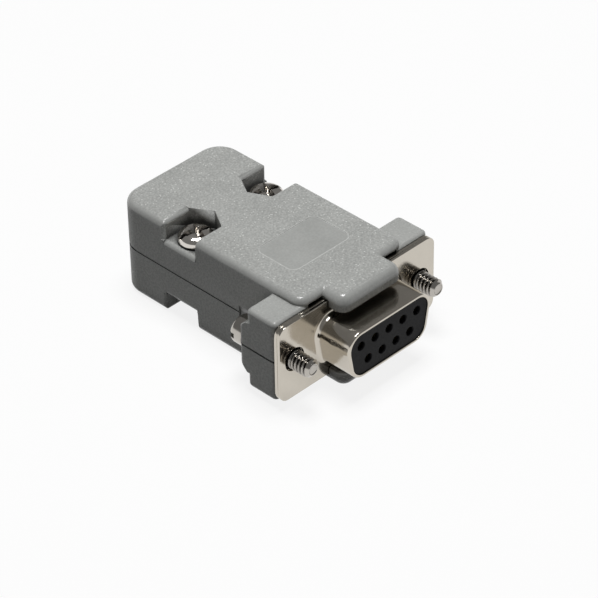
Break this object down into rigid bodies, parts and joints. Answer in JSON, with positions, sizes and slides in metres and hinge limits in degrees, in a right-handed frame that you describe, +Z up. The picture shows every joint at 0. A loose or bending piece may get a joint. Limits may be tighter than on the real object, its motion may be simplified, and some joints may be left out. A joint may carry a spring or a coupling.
{
  "type": "d-sub solder connector",
  "caption": "Socket D-sub solder connector in a two-half grey cable hood, with turning jackscrews at the flange and a cable clamp inside.",
  "frame": {"origin": "centre of the flange's front face, midway between the two jackscrews", "axes": "+Y in the mating direction, +Z up across the hood's parting plane, +X to the jackscrew on the hood's right"},
  "size_m": [0.0308, 0.0437, 0.0154],
  "materials": {
    "hood_plastic": "fine spark texture on the broad faces, smooth rounded edges",
    "plated_sheet": "bright nickel plate on deep-drawn sheet",
    "black_plastic": "fine matte moulding",
    "contact_metal": "thin gilt plate",
    "plated_screws": "bright nickel plate",
    "clamp_steel": "plain zinc plate"
  },
  "bodies": {
    "hood": {"hood_upper": "hood_plastic", "hood_lower": "hood_plastic", "front_shell": "plated_sheet", "rear_shell": "plated_sheet", "front_insulator": "black_plastic", "rear_insulator": "black_plastic", "contact_1": "contact_metal", "contact_2": "contact_metal", "contact_3": "contact_metal", "contact_4": "contact_metal", "contact_5": "contact_metal", "contact_6": "contact_metal", "contact_7": "contact_metal", "contact_8": "contact_metal", "contact_9": "contact_metal", "hood_screws": "plated_screws", "clamp_strap_upper": "clamp_steel", "clamp_strap_lower": "clamp_steel", "clamp_screws": "clamp_steel"},
    "jackscrew_left": {"jackscrew_left": "plated_screws"},
    "jackscrew_right": {"jackscrew_right": "plated_screws"}
  },
  "joints": [
    {"name": "jackscrew_left_turn", "type": "hinge", "parent": "hood", "child": "jackscrew_left", "pos_m": [-0.01249, 0, 0], "axis": [0, 1, 0], "continuous": true},
    {"name": "jackscrew_right_turn", "type": "hinge", "parent": "hood", "child": "jackscrew_right", "pos_m": [0.01249, 0, 0], "axis": [0, 1, 0], "continuous": true}
  ]
}
